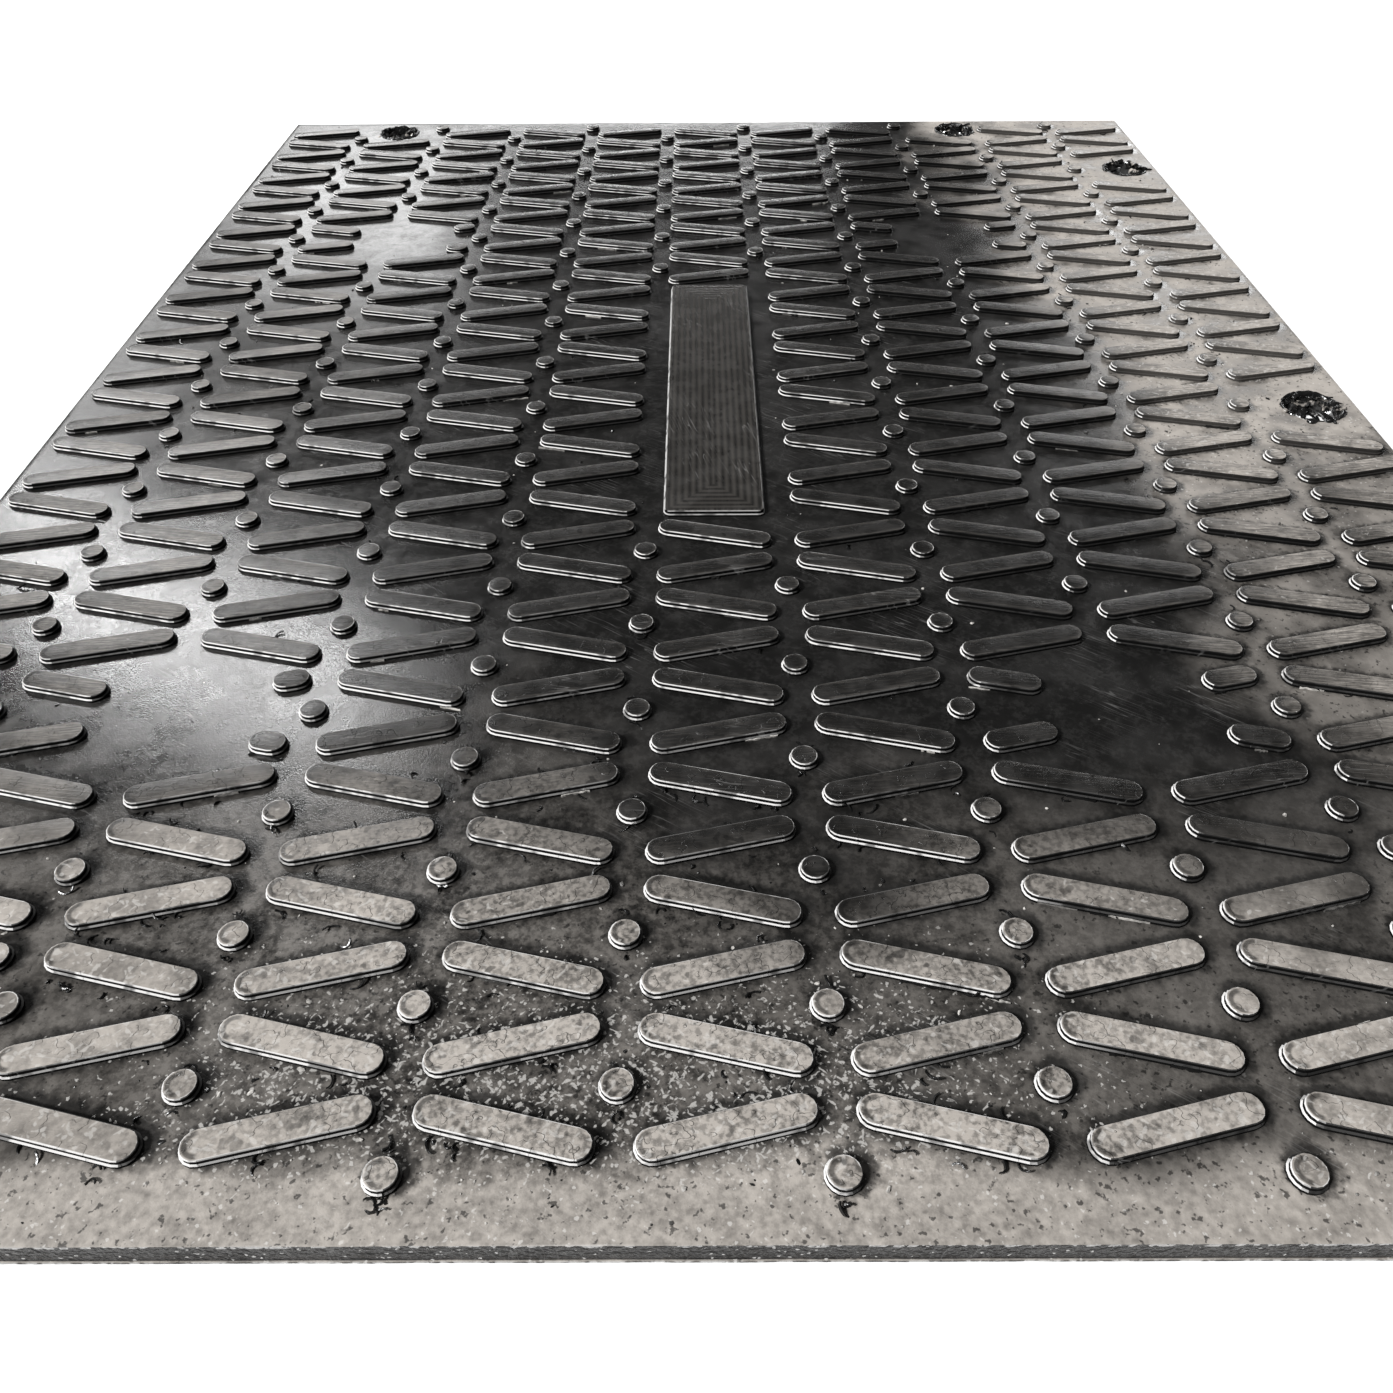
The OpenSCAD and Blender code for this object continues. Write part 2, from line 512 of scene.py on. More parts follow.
def makeStripBlank(length, width, thickness, pieces, bend):  # a closed strip on its edge, curled sideways
    clearSelection()
    step = length / pieces
    bpy.ops.mesh.primitive_cube_add(size=1, location=((step - length) / 2, 0, 0))
    blank = bpy.context.object
    blank.scale = (step, thickness, width)
    bpy.ops.object.transform_apply(location=True, rotation=True, scale=True)
    pickFaces(blank, lambda middle, normal: normal.x > 0.9)
    for number in range(pieces - 1):
        extrudeBy((step, 0, 0))
    bpy.ops.object.mode_set(mode="OBJECT")
    if bend:
        curl = blank.modifiers.new("curl", "SIMPLE_DEFORM")
        curl.deform_method = "BEND"
        curl.deform_axis = "Z"
        curl.angle = math.radians(bend)
        applyModifiers(blank)
    return blank


def makeLumpBlank(fineness):
    clearSelection()
    bpy.ops.mesh.primitive_ico_sphere_add(subdivisions=fineness, radius=1)
    return bpy.context.object


def keepInside(piece, lowest=0.0004):  # no loose matter reaches above the tread or below the floor
    for vertex in piece.data.vertices:
        vertex.co.z = min(max(vertex.co.z, lowest), cadHigh.z - 0.0004)


def makeLinings():  # the melted walls of the holes
    rings = []
    clouds = bpy.data.textures.new("lumps", "CLOUDS")
    clouds.noise_scale = litter["lumpSize"]
    clouds.noise_depth = 3
    for x, y, radius in holes:
        clearSelection()
        bpy.ops.mesh.primitive_torus_add(
            major_radius=radius + 0.0006, minor_radius=litter["liningThickness"],
            major_segments=80, minor_segments=16, location=(0, 0, 0)
        )
        ring = bpy.context.object
        ring.scale = (1, 1, litter["liningStretch"])
        ring.location = (x, y, sheetTop - litter["liningThickness"] * litter["liningStretch"] + 0.0016)
        bpy.ops.object.transform_apply(location=True, rotation=True, scale=True)
        lumps = ring.modifiers.new("lumps", "DISPLACE")
        lumps.texture = clouds
        lumps.texture_coords = "LOCAL"
        lumps.strength = litter["lumpHeight"]
        applyModifiers(ring)
        rings.append(ring)
    clearSelection()
    for ring in rings:
        ring.select_set(True)
    bpy.context.view_layer.objects.active = rings[0]
    bpy.ops.object.join()
    piece = bpy.context.object
    piece.name = "hole_linings"
    keepInside(piece)
    smoothEdges(piece, 60)
    print("linings made")
    return piece


def randomTurn(draw, tip):
    return Euler((draw.uniform(-tip, tip), draw.uniform(-tip, tip), draw.uniform(0, 2 * math.pi))).to_matrix().to_4x4()


def makeHoleShreds():  # torn strips that hang into the holes
    draw = random.Random(21)
    places = []
    for x, y, radius in holes:
        for number in range(litter["shredsAtHole"]):
            angle = draw.gauss(-0.35, 1.25)  # most of them on the right
            out = radius - draw.uniform(0.001, 0.010)
            spot = (x + out * math.cos(angle), y + out * math.sin(angle), draw.uniform(0.010, 0.0265))
            turn = Euler((draw.uniform(-0.9, 0.9), draw.uniform(-0.7, 0.2), angle + math.pi + draw.uniform(-1.1, 1.1)))
            size = Matrix.Diagonal((draw.uniform(0.8, 2.2), draw.uniform(0.8, 2.4), draw.uniform(0.8, 3.2), 1))
            matrix = Matrix.Translation(spot) @ turn.to_matrix().to_4x4() @ size
            places.append({"matrix": matrix, "tone": draw.random()})
    piece = joinCopies("hole_shreds", makeStripBlank(0.016, 0.0022, 0.0011, 6, 70), places, jitter=0.0003, seed=22)
    keepInside(piece)
    smoothEdges(piece, 50)
    return piece


def makeHoleBlobs():
    draw = random.Random(23)
    places = []
    for x, y, radius in holes:
        for number in range(litter["blobsAtHole"]):
            angle = draw.uniform(0, 2 * math.pi)
            out = radius + draw.uniform(-0.006, 0.005)
            size = draw.uniform(0.0016, 0.0052)
            spot = (x + out * math.cos(angle), y + out * math.sin(angle), sheetTop + draw.uniform(-0.004, 0.0006))
            scale = Matrix.Diagonal((size * draw.uniform(0.8, 1.5), size, size * draw.uniform(0.5, 0.8), 1))
            matrix = Matrix.Translation(spot) @ randomTurn(draw, 0.4) @ scale
            places.append({"matrix": matrix, "tone": draw.random()})
        for number in range(litter["wallLumps"]):
            angle = draw.uniform(0, 2 * math.pi)
            size = draw.uniform(0.005, 0.0105)
            out = radius - 0.35 * size
            spot = (x + out * math.cos(angle), y + out * math.sin(angle), draw.uniform(0.006, 0.017))
            scale = Matrix.Diagonal((size * draw.uniform(0.8, 1.6), size, size * draw.uniform(0.5, 0.9), 1))
            matrix = Matrix.Translation(spot) @ randomTurn(draw, 0.5) @ scale
            places.append({"matrix": matrix, "tone": draw.random()})
    piece = joinCopies("hole_blobs", makeLumpBlank(3), places, jitter=0.05, seed=24)
    keepInside(piece)
    smoothEdges(piece, 70)
    print("shreds and blobs made")
    return piece


def spotAtFoot(draw, places, outside):  # a random point beside a random foot, and the foot's direction there
    place = draw.choice(places)
    start, end = place["ends"]
    side = -1 if draw.random() < 0.72 else 1
    along = draw.uniform(start - 0.004, end + 0.004)
    across = side * (place["radius"] + draw.uniform(*outside))
    spot = place["matrix"] @ Vector((along, across, 0))
    return spot, place["matrix"].to_euler().z


def makeCurls(places):  # black shavings on the sheet
    draw = random.Random(31)
    near = [place for place in places if place["matrix"].translation.y < -0.62 and abs(place["matrix"].translation.x + 0.1) < 0.36]
    spots = []
    for number in range(litter["curls"]):
        spot, angle = spotAtFoot(draw, near if draw.random() < 0.6 else places, (0.0, 0.010))
        grown = draw.uniform(0.45, 1.35)
        size = Matrix.Diagonal((grown * draw.uniform(0.6, 1.3), grown, draw.uniform(0.7, 1.6), 1))
        matrix = Matrix.Translation((spot.x, spot.y, sheetTop + draw.uniform(0.0, 0.0012))) @ randomTurn(draw, 0.5) @ size
        spots.append({"matrix": matrix, "tone": 0.15 * draw.random()})
    piece = joinCopies("shavings", makeStripBlank(0.011, 0.0013, 0.0009, 6, 130), spots, jitter=0.0002, seed=32)
    keepInside(piece)
    smoothEdges(piece, 50)
    return piece


def makeFlash(places):  # ragged thin flash along the feet
    draw = random.Random(41)
    cleatOnes = [place for place in places if place["ends"][1] > place["ends"][0]]
    spots = []
    for number in range(litter["flashStrips"]):
        spot, angle = spotAtFoot(draw, cleatOnes, (-0.0004, 0.0006))
        size = Matrix.Diagonal((draw.uniform(0.25, 1.0), draw.uniform(0.7, 2.0), draw.uniform(0.6, 1.5), 1))
        matrix = Matrix.Translation((spot.x, spot.y, sheetTop)) @ Matrix.Rotation(angle + draw.uniform(-0.05, 0.05), 4, "Z") @ size
        spots.append({"matrix": matrix, "tone": draw.random() ** 2})
    piece = joinCopies("foot_flash", makeStripBlank(0.030, 0.0022, 0.0009, 8, 0), spots, jitter=0.00045, seed=42)
    smoothEdges(piece, 40)
    return piece


def makeCrumbs(places):  # pale and dark grit, most of it at the front and along the right
    draw = random.Random(51)
    wanted = []
    while len(wanted) < litter["crumbs"]:
        x, y = draw.uniform(-halfWidth, halfWidth), draw.uniform(-halfLength, halfLength)
        density = 0.10 + 0.9 * max(0, min(1, (-0.66 - y) / 0.26)) * max(0.2, min(1, (0.32 - x) / 0.2))
        density += 0.45 * max(0, min(1, (x - 0.35) / 0.25)) * max(0, min(1, (y + 0.4) / 0.3))
        if draw.random() < density and abs(x) < halfWidth - 0.006 and abs(y) < halfLength - 0.006:
            wanted.append((x, y))
    wanted = np.array(wanted)
    free = treadGap(wanted, places) > 0.001
    for holeX, holeY, radius in holes:
        free &= np.hypot(wanted[:, 0] - holeX, wanted[:, 1] - holeY) > radius + 0.003
    spots = []
    for x, y in wanted[free]:
        size = 0.0005 + 0.0013 * draw.random() ** 2.5
        scale = Matrix.Diagonal((size * draw.uniform(0.8, 2.2), size, size * draw.uniform(0.5, 0.9), 1))
        matrix = Matrix.Translation((x, y, sheetTop - 0.0001)) @ randomTurn(draw, 0.3) @ scale
        spots.append({"matrix": matrix, "tone": draw.random()})
    piece = joinCopies("grit", makeLumpBlank(1), spots, jitter=0.22, seed=52)
    smoothEdges(piece, 30)
    print("grit made", len(spots))
    return piece


# Materials

def node(tree, kind, inputs=None, **settings):
    made = tree.nodes.new(kind)
    for key, value in settings.items():
        setattr(made, key, value)
    for key, value in (inputs or {}).items():
        if isinstance(value, bpy.types.NodeSocket):
            tree.links.new(value, made.inputs[key])
        else:
            made.inputs[key].default_value = value
    return made


def maths(tree, operation, a, b=0.0, c=0.0, clamp=False):
    return node(tree, "ShaderNodeMath", {0: a, 1: b, 2: c}, operation=operation, use_clamp=clamp).outputs[0]


def times(tree, *values):
    result = values[0]
    for value in values[1:]:
        result = maths(tree, "MULTIPLY", result, value)
    return result


def ramp(tree, value, low, high, toLow=0.0, toHigh=1.0):
    limits = {"Value": value, "From Min": low, "From Max": high, "To Min": toLow, "To Max": toHigh}
    return node(tree, "ShaderNodeMapRange", limits, interpolation_type="SMOOTHSTEP").outputs["Result"]


def blend(tree, share, a, b):  # a colour between a and b
    mixed = node(tree, "ShaderNodeMix", {0: share, 6: a, 7: b}, data_type="RGBA")
    return mixed.outputs[2]


def cloud(tree, place, size, detail=2.0, rough=0.5):  # a noise value, with its size in metres
    scale = maths(tree, "DIVIDE", 1.0, size) if isinstance(size, bpy.types.NodeSocket) else 1 / size
    inputs = {"Vector": place, "Scale": scale, "Detail": detail, "Roughness": rough}
    return node(tree, "ShaderNodeTexNoise", inputs).outputs[0]


def shifted(tree, place, step):
    return node(tree, "ShaderNodeVectorMath", {0: place, 1: step}, operation="ADD").outputs[0]


def startGroup(name, inputs, output):
    group = bpy.data.node_groups.new(name, "ShaderNodeTree")
    for key, kind, value in inputs:
        socket = group.interface.new_socket(name=key, in_out="INPUT", socket_type=kind)
        if value is not None:
            socket.default_value = value
    group.interface.new_socket(name=output, in_out="OUTPUT", socket_type="NodeSocketFloat")
    start = group.nodes.new("NodeGroupInput")
    end = group.nodes.new("NodeGroupOutput")
    return group, start.outputs, end.inputs


def makePatchGroup():  # soft blotches
    group, given, result = startGroup(
        "softPatches",
        (
            ("Place", "NodeSocketVector", None),
            ("Size", "NodeSocketFloat", 0.1),
            ("Low", "NodeSocketFloat", 0.4),
            ("High", "NodeSocketFloat", 0.6),
        ),
        "Mask",
    )
    value = cloud(group, given["Place"], given["Size"], 2.0, 0.62)
    group.links.new(ramp(group, value, given["Low"], given["High"]), result[0])
    return group


def makeFleckGroup():  # separate chips and crumbs of uneven outline
    group, given, result = startGroup(
        "flecks",
        (
            ("Place", "NodeSocketVector", None),
            ("Size", "NodeSocketFloat", 0.004),
            ("Share", "NodeSocketFloat", 0.3),
        ),
        "Mask",
    )
    scale = maths(group, "DIVIDE", 1.0, given["Size"])
    wobble = node(group, "ShaderNodeTexNoise", {"Vector": given["Place"], "Scale": maths(group, "MULTIPLY", scale, 1.6)})
    offset = node(group, "ShaderNodeVectorMath", {0: wobble.outputs["Color"], 1: (0.5, 0.5, 0.5)}, operation="SUBTRACT")
    shift = node(group, "ShaderNodeVectorMath", {0: offset.outputs[0], "Scale": given["Size"]}, operation="SCALE")
    place = node(group, "ShaderNodeVectorMath", {0: given["Place"], 1: shift.outputs[0]}, operation="ADD")
    cells = node(group, "ShaderNodeTexVoronoi", {"Vector": place.outputs[0], "Scale": scale})
    chosen = node(group, "ShaderNodeSeparateColor", {0: cells.outputs["Color"]})
    isThere = maths(group, "LESS_THAN", chosen.outputs[0], given["Share"])
    reach = maths(group, "MULTIPLY_ADD", chosen.outputs[1], 0.25, 0.14)
    body = ramp(group, maths(group, "SUBTRACT", reach, cells.outputs["Distance"]), -0.06, 0.06)
    group.links.new(maths(group, "MULTIPLY", isThere, body), result[0])
    return group


def makeStrokeGroup():  # short bent strokes in two directions, as thin shavings leave them
    group, given, result = startGroup(
        "shortStrokes",
        (
            ("Place", "NodeSocketVector", None),
            ("Size", "NodeSocketFloat", 0.006),
            ("Cover", "NodeSocketFloat", 0.4),
        ),
        "Mask",
    )
    scale = maths(group, "DIVIDE", 1.0, given["Size"])
    least = ramp(group, given["Cover"], 0.0, 1.0, 0.74, 0.565)
    scaled = node(group, "ShaderNodeVectorMath", {0: given["Place"], "Scale": scale}, operation="SCALE").outputs[0]
    wobble = node(group, "ShaderNodeTexNoise", {"Vector": scaled, "Scale": 0.7, "Detail": 0.0}).outputs["Color"]
    bent = node(group, "ShaderNodeVectorMath", {0: wobble, 1: (0.9, 0.9, 0.9), 2: scaled}, operation="MULTIPLY_ADD").outputs[0]
    total = None
    for turn, shift in ((0.5, 0.0), (-0.9, 3.1)):
        turned = node(group, "ShaderNodeVectorRotate", {"Vector": bent, "Angle": turn}, rotation_type="Z_AXIS").outputs[0]
        drawn = node(group, "ShaderNodeVectorMath", {0: turned, 1: (0.70, 1.10, 1.0), 2: (shift, shift, 0)}, operation="MULTIPLY_ADD")
        value = node(group, "ShaderNodeTexNoise", {"Vector": drawn.outputs[0], "Scale": 1.0, "Detail": 1.5}).outputs[0]
        mask = ramp(group, value, least, maths(group, "ADD", least, 0.08))
        total = mask if total is None else maths(group, "MAXIMUM", total, mask)
    group.links.new(total, result[0])
    return group


def makeScratchGroup():  # thin lines along one direction
    group, given, result = startGroup(
        "scratches",
        (
            ("Place", "NodeSocketVector", None),
            ("Turn", "NodeSocketFloat", 0.0),
            ("Length", "NodeSocketFloat", 0.08),
            ("Width", "NodeSocketFloat", 0.004),
            ("Share", "NodeSocketFloat", 0.5),
        ),
        "Mask",
    )
    turned = node(group, "ShaderNodeVectorRotate", {"Vector": given["Place"], "Angle": given["Turn"]}, rotation_type="Z_AXIS")
    along = maths(group, "DIVIDE", 1.0, given["Length"])
    across = maths(group, "DIVIDE", 1.0, given["Width"])
    scales = node(group, "ShaderNodeCombineXYZ", {0: along, 1: across, 2: along})
    place = node(group, "ShaderNodeVectorMath", {0: turned.outputs[0], 1: scales.outputs[0]}, operation="MULTIPLY")
    lines = node(group, "ShaderNodeTexNoise", {"Vector": place.outputs[0], "Scale": 1.0, "Detail": 1.5})
    near = maths(group, "ABSOLUTE", maths(group, "SUBTRACT", lines.outputs[0], 0.5))
    thin = ramp(group, near, 0.014, 0.002)
    patch = node(group, "ShaderNodeTexNoise", {"Vector": turned.outputs[0], "Scale": maths(group, "MULTIPLY", along, 1.4)})
    kept = ramp(group, patch.outputs[0], maths(group, "SUBTRACT", 1.0, given["Share"]), 0.75)
    group.links.new(maths(group, "MULTIPLY", thin, kept), result[0])
    return group


def makeGrainGroup():  # the height of an uneven skin, in metres
    group, given, result = startGroup(
        "skinGrain",
        (
            ("Place", "NodeSocketVector", None),
            ("Fine", "NodeSocketFloat", 0.00004),
            ("Broad", "NodeSocketFloat", 0.00012),
        ),
        "Height",
    )
    fine = times(group, cloud(group, given["Place"], 0.0014, 1.0, 0.6), given["Fine"])
    broad = times(group, cloud(group, given["Place"], 0.014, 0.0), given["Broad"])
    group.links.new(maths(group, "ADD", fine, broad), result[0])
    return group


def makeDustAndSheenGroup():  # where dust has settled along the front and down the right side, and dust with painted sheen at the far left
    group, given, result = startGroup(
        "dustAndSheenCover",
        (
            ("Place", "NodeSocketVector", None),
            ("Front Start", "NodeSocketFloat", -0.64),
            ("Front Full", "NodeSocketFloat", -0.84),
            ("Front", "NodeSocketFloat", 0.9),
            ("Strip", "NodeSocketFloat", 0.0),
            ("Side", "NodeSocketFloat", 0.7),
            ("Left", "NodeSocketFloat", 0.3),
            ("Base", "NodeSocketFloat", 0.06),
        ),
        "Mask",
    )
    parts = node(group, "ShaderNodeSeparateXYZ", {0: given["Place"]})
    drift = maths(group, "SUBTRACT", cloud(group, given["Place"], 0.2, 3.0), 0.5)
    alongX = maths(group, "MULTIPLY_ADD", drift, 0.36, parts.outputs[0])
    alongY = maths(group, "MULTIPLY_ADD", drift, 0.36, parts.outputs[1])
    stripY = maths(group, "MULTIPLY_ADD", drift, 0.10, parts.outputs[1])
    frontY = maths(group, "ADD", alongY, ramp(group, parts.outputs[0], -0.22, 0.02, 0.0, 0.10))
    front = times(group, ramp(group, frontY, given["Front Start"], given["Front Full"]), given["Front"])
    strip = times(group, ramp(group, stripY, -0.93, -0.975), given["Strip"])
    farShare = ramp(group, alongY, -0.45, 0.05, 0.45, 1.0)
    edge = maths(group, "MULTIPLY_ADD", parts.outputs[1], -0.06, 0.47)
    side = ramp(group, maths(group, "SUBTRACT", alongX, edge), -0.07, 0.07)
    side = times(group, side, farShare, given["Side"])
    # at the far left: dust, and on the tread a painted sheen as well
    left = times(group, ramp(group, alongX, -0.34, -0.50), given["Left"])
    total = maths(group, "MAXIMUM", maths(group, "MAXIMUM", front, strip), maths(group, "MAXIMUM", side, left))
    group.links.new(maths(group, "ADD", total, given["Base"], clamp=True), result[0])
    return group


def makeBarInsetGroup():  # how far a point lies inside the outline of a round-ended bar
    group, given, result = startGroup(
        "barInset",
        (
            ("Flat", "NodeSocketVector", None),
            ("Half Reach", "NodeSocketFloat", 0.0),
            ("Half Width", "NodeSocketFloat", 0.01),
        ),
        "Inset",
    )
    parts = node(group, "ShaderNodeSeparateXYZ", {0: given["Flat"]})
    beyond = maths(group, "SUBTRACT", maths(group, "ABSOLUTE", parts.outputs[0]), given["Half Reach"])
    beyond = maths(group, "MAXIMUM", beyond, 0.0)
    square = maths(group, "MULTIPLY_ADD", beyond, beyond, times(group, parts.outputs[1], parts.outputs[1]))
    group.links.new(maths(group, "SUBTRACT", given["Half Width"], maths(group, "SQRT", square)), result[0])
    return group


def makeBoxInsetGroup():  # the same for a rectangle round the origin
    group, given, result = startGroup(
        "boxInset",
        (
            ("Place", "NodeSocketVector", None),
            ("Half Width", "NodeSocketFloat", 0.05),
            ("Half Length", "NodeSocketFloat", 0.2),
        ),
        "Inset",
    )
    parts = node(group, "ShaderNodeSeparateXYZ", {0: given["Place"]})
    insideX = maths(group, "SUBTRACT", given["Half Width"], maths(group, "ABSOLUTE", parts.outputs[0]))
    insideY = maths(group, "SUBTRACT", given["Half Length"], maths(group, "ABSOLUTE", parts.outputs[1]))
    group.links.new(maths(group, "MINIMUM", insideX, insideY), result[0])
    return group


def makeEdgeHighlightGroup():  # which edges get a painted highlight: those to the left, and more of the front ones towards the left
    group, given, result = startGroup(
        "paintedEdgeHighlights",
        (
            ("Normal", "NodeSocketVector", None),
            ("Place", "NodeSocketVector", None),
            ("Least", "NodeSocketFloat", 0.15),
        ),
        "Mask",
    )
    level = node(group, "ShaderNodeVectorMath", {0: given["Normal"], 1: (1, 1, 0)}, operation="MULTIPLY").outputs[0]
    outward = node(group, "ShaderNodeVectorMath", {0: level}, operation="NORMALIZE").outputs[0]
    across = node(group, "ShaderNodeSeparateXYZ", {0: given["Place"]}).outputs
    turn = maths(group, "MULTIPLY_ADD", across[1], 0.21, 0.63)
    turn = maths(group, "ADD", turn, ramp(group, across[0], 0.06, 0.34, 0.0, 0.74))
    aimX, aimY = (times(group, maths(group, kind, turn), -1.0) for kind in ("SINE", "COSINE"))
    aim = node(group, "ShaderNodeCombineXYZ", {0: aimX, 1: aimY})
    facing = node(group, "ShaderNodeVectorMath", {0: outward, 1: aim.outputs[0]}, operation="DOT_PRODUCT").outputs["Value"]
    leftward = node(group, "ShaderNodeVectorMath", {0: outward, 1: (-1, 0, 0)}, operation="DOT_PRODUCT").outputs["Value"]
    share = maths(group, "MAXIMUM", ramp(group, facing, 0.66, 0.90), ramp(group, leftward, 0.45, 0.85))
    group.links.new(maths(group, "MAXIMUM", share, given["Least"]), result[0])
    return group


def useGroup(tree, group, output, **inputs):
    used = node(tree, "ShaderNodeGroup", node_tree=group)
    for key, value in inputs.items():
        key = key.replace("_", " ")
        if isinstance(value, bpy.types.NodeSocket):
            tree.links.new(value, used.inputs[key])
        else:
            used.inputs[key].default_value = value
    return used.outputs[output]


patchGroup = makePatchGroup()
fleckGroup = makeFleckGroup()
strokeGroup = makeStrokeGroup()
scratchGroup = makeScratchGroup()
grainGroup = makeGrainGroup()
dustAndSheenGroup = makeDustAndSheenGroup()
barInsetGroup = makeBarInsetGroup()
boxInsetGroup = makeBoxInsetGroup()
edgeHighlightGroup = makeEdgeHighlightGroup()

tints = {
    "rubber": (0.0058, 0.0057, 0.0055, 1),
    "rubberPale": (0.021, 0.0205, 0.020, 1),
    "side": (0.004, 0.004, 0.004, 1),
    "dust": (0.362, 0.333, 0.302, 1),
    "dustPale": (0.58, 0.565, 0.54, 1),
    # pale colour of wear and scratches, also used for the painted highlights on the edges
    "paleWearAndHighlight": (0.62, 0.61, 0.60, 1),
    "melted": (0.006, 0.006, 0.006, 1),
    "crumb": (0.50, 0.48, 0.45, 1),
}


def startMaterial(name):
    material = bpy.data.materials.new(name)
    material.use_nodes = True
    tree = material.node_tree
    shader = tree.nodes["Principled BSDF"]
    place = tree.nodes.new("ShaderNodeTexCoord").outputs["Object"]
    normal = tree.nodes.new("ShaderNodeNewGeometry").outputs["True Normal"]
    level = node(tree, "ShaderNodeSeparateXYZ", {0: place})
    return material, tree, shader, place, normal, level.outputs


def heightOf(tree, normal):  # 1 for a face that looks up, 0 for an upright one
    return node(tree, "ShaderNodeSeparateXYZ", {0: normal}).outputs[2]


def finishMaterial(tree, shader, colour, rough, height):
    bump = node(tree, "ShaderNodeBump", {"Height": height, "Strength": 1.0, "Distance": 1.0})
    tree.links.new(colour, shader.inputs["Base Color"])
    tree.links.new(rough, shader.inputs["Roughness"])
    tree.links.new(bump.outputs[0], shader.inputs["Normal"])


def makeSheetRubber(looks):
    material, tree, shader, place, normal, level = startMaterial("sheet_rubber")
    upward = heightOf(tree, normal)
    flat = ramp(tree, upward, 0.3, 0.95)
    tree.links.new(maths(tree, "MULTIPLY_ADD", flat, looks["specular"] - 0.06, 0.06), shader.inputs["Specular IOR Level"])
    # painted contact shadow: dust is taken off round each foot, more on its right and far side where the shade falls
    gap = node(tree, "ShaderNodeAttribute", attribute_name="treadGap").outputs["Fac"]
    grit = cloud(tree, place, 0.006, 3.0)
    gap = maths(tree, "ADD", gap, maths(tree, "MULTIPLY_ADD", grit, 0.012, -0.006))
    paintedContactShadow = ramp(tree, gap, 0.009, 0.001)

    dust = useGroup(tree, dustAndSheenGroup, "Mask", Place=place, **looks["dust"])
    broad = useGroup(tree, patchGroup, "Mask", Place=place, Size=0.06, Low=0.34, High=0.62)
    fine = useGroup(tree, patchGroup, "Mask", Place=place, Size=0.0045, Low=0.36, High=0.62)
    middling = useGroup(tree, patchGroup, "Mask", Place=shifted(tree, place, (2.2, 0.3, 0)), Size=0.014, Low=0.36, High=0.62)
    towardsMiddle = ramp(tree, maths(tree, "ABSOLUTE", maths(tree, "ADD", level[0], 0.09)), 0.42, 0.14)
    coarse = maths(tree, "MULTIPLY_ADD", towardsMiddle, 0.30, 0.22)
    texture = maths(tree, "MULTIPLY_ADD", broad, 0.36, maths(tree, "MULTIPLY_ADD", coarse, -0.92, 0.50))
    texture = maths(tree, "MULTIPLY_ADD", maths(tree, "MULTIPLY_ADD", middling, 0.8, fine), coarse, texture)
    evenness = ramp(tree, level[1], -0.78, -0.50)  # away from the front the dust lies more evenly
    even = maths(tree, "MULTIPLY_ADD", broad, 0.56, maths(tree, "MULTIPLY_ADD", middling, 0.20, 0.32))
    texture = maths(tree, "ADD", texture, times(tree, evenness, maths(tree, "SUBTRACT", even, texture)))
    grainy = maths(tree, "MULTIPLY_ADD", grit, 0.9, maths(tree, "MULTIPLY_ADD", texture, 0.35, 0.05))
    inStrip = ramp(tree, level[1], -0.935, -0.975)  # an even fine grain along the front edge
    texture = maths(tree, "ADD", texture, times(tree, inStrip, maths(tree, "SUBTRACT", grainy, texture)))
    # dust cover, thinned where the contact shadow is painted
    cover = times(tree, dust, texture, maths(tree, "MULTIPLY_ADD", paintedContactShadow, -0.85, 1.0))
    cover = maths(tree, "MINIMUM", times(tree, cover, maths(tree, "MAXIMUM", flat, 0.03)), 1.0)

    mottle = maths(tree, "MULTIPLY_ADD", times(tree, fine, middling), 0.5, times(tree, broad, broad, 0.5))
    colour = blend(tree, mottle, tints["rubber"], tints["rubberPale"])
    colour = blend(tree, cover, colour, tints["dust"])

    towardsFront = ramp(tree, level[1], -0.73, -0.90)
    littered = times(tree, maths(tree, "MULTIPLY_ADD", towardsMiddle, 0.66, 0.08), towardsFront)
    littered = times(tree, littered, ramp(tree, level[1], -0.98, -0.93, 0.45, 1.0))
    littered = maths(tree, "MAXIMUM", littered, times(tree, dust, 0.3))
    strokes = useGroup(tree, strokeGroup, "Mask", Place=place, Size=0.0036, Cover=littered)
    bits = useGroup(tree, fleckGroup, "Mask", Place=place, Size=0.0035, Share=maths(tree, "MULTIPLY", littered, 0.42))
    strokes = times(tree, maths(tree, "MAXIMUM", strokes, bits), ramp(tree, littered, 0.02, 0.25), maths(tree, "MAXIMUM", flat, 0.3))
    colour = blend(tree, maths(tree, "MULTIPLY", strokes, 0.52), colour, tints["dustPale"])
    darkBits = ramp(tree, cloud(tree, shifted(tree, place, (1.3, 0.7, 0)), 0.0045, 2.0), 0.62, 0.70)
    darkBits = times(tree, darkBits, ramp(tree, dust, 0.02, 0.25), flat)
    colour = blend(tree, maths(tree, "MULTIPLY", darkBits, 0.75), colour, tints["rubber"])

    scratch = useGroup(tree, scratchGroup, "Mask", Place=place, Turn=0.6, Length=0.10, Width=0.005, Share=0.5)
    colour = blend(tree, maths(tree, "MULTIPLY", scratch, 0.11), colour, tints["paleWearAndHighlight"])

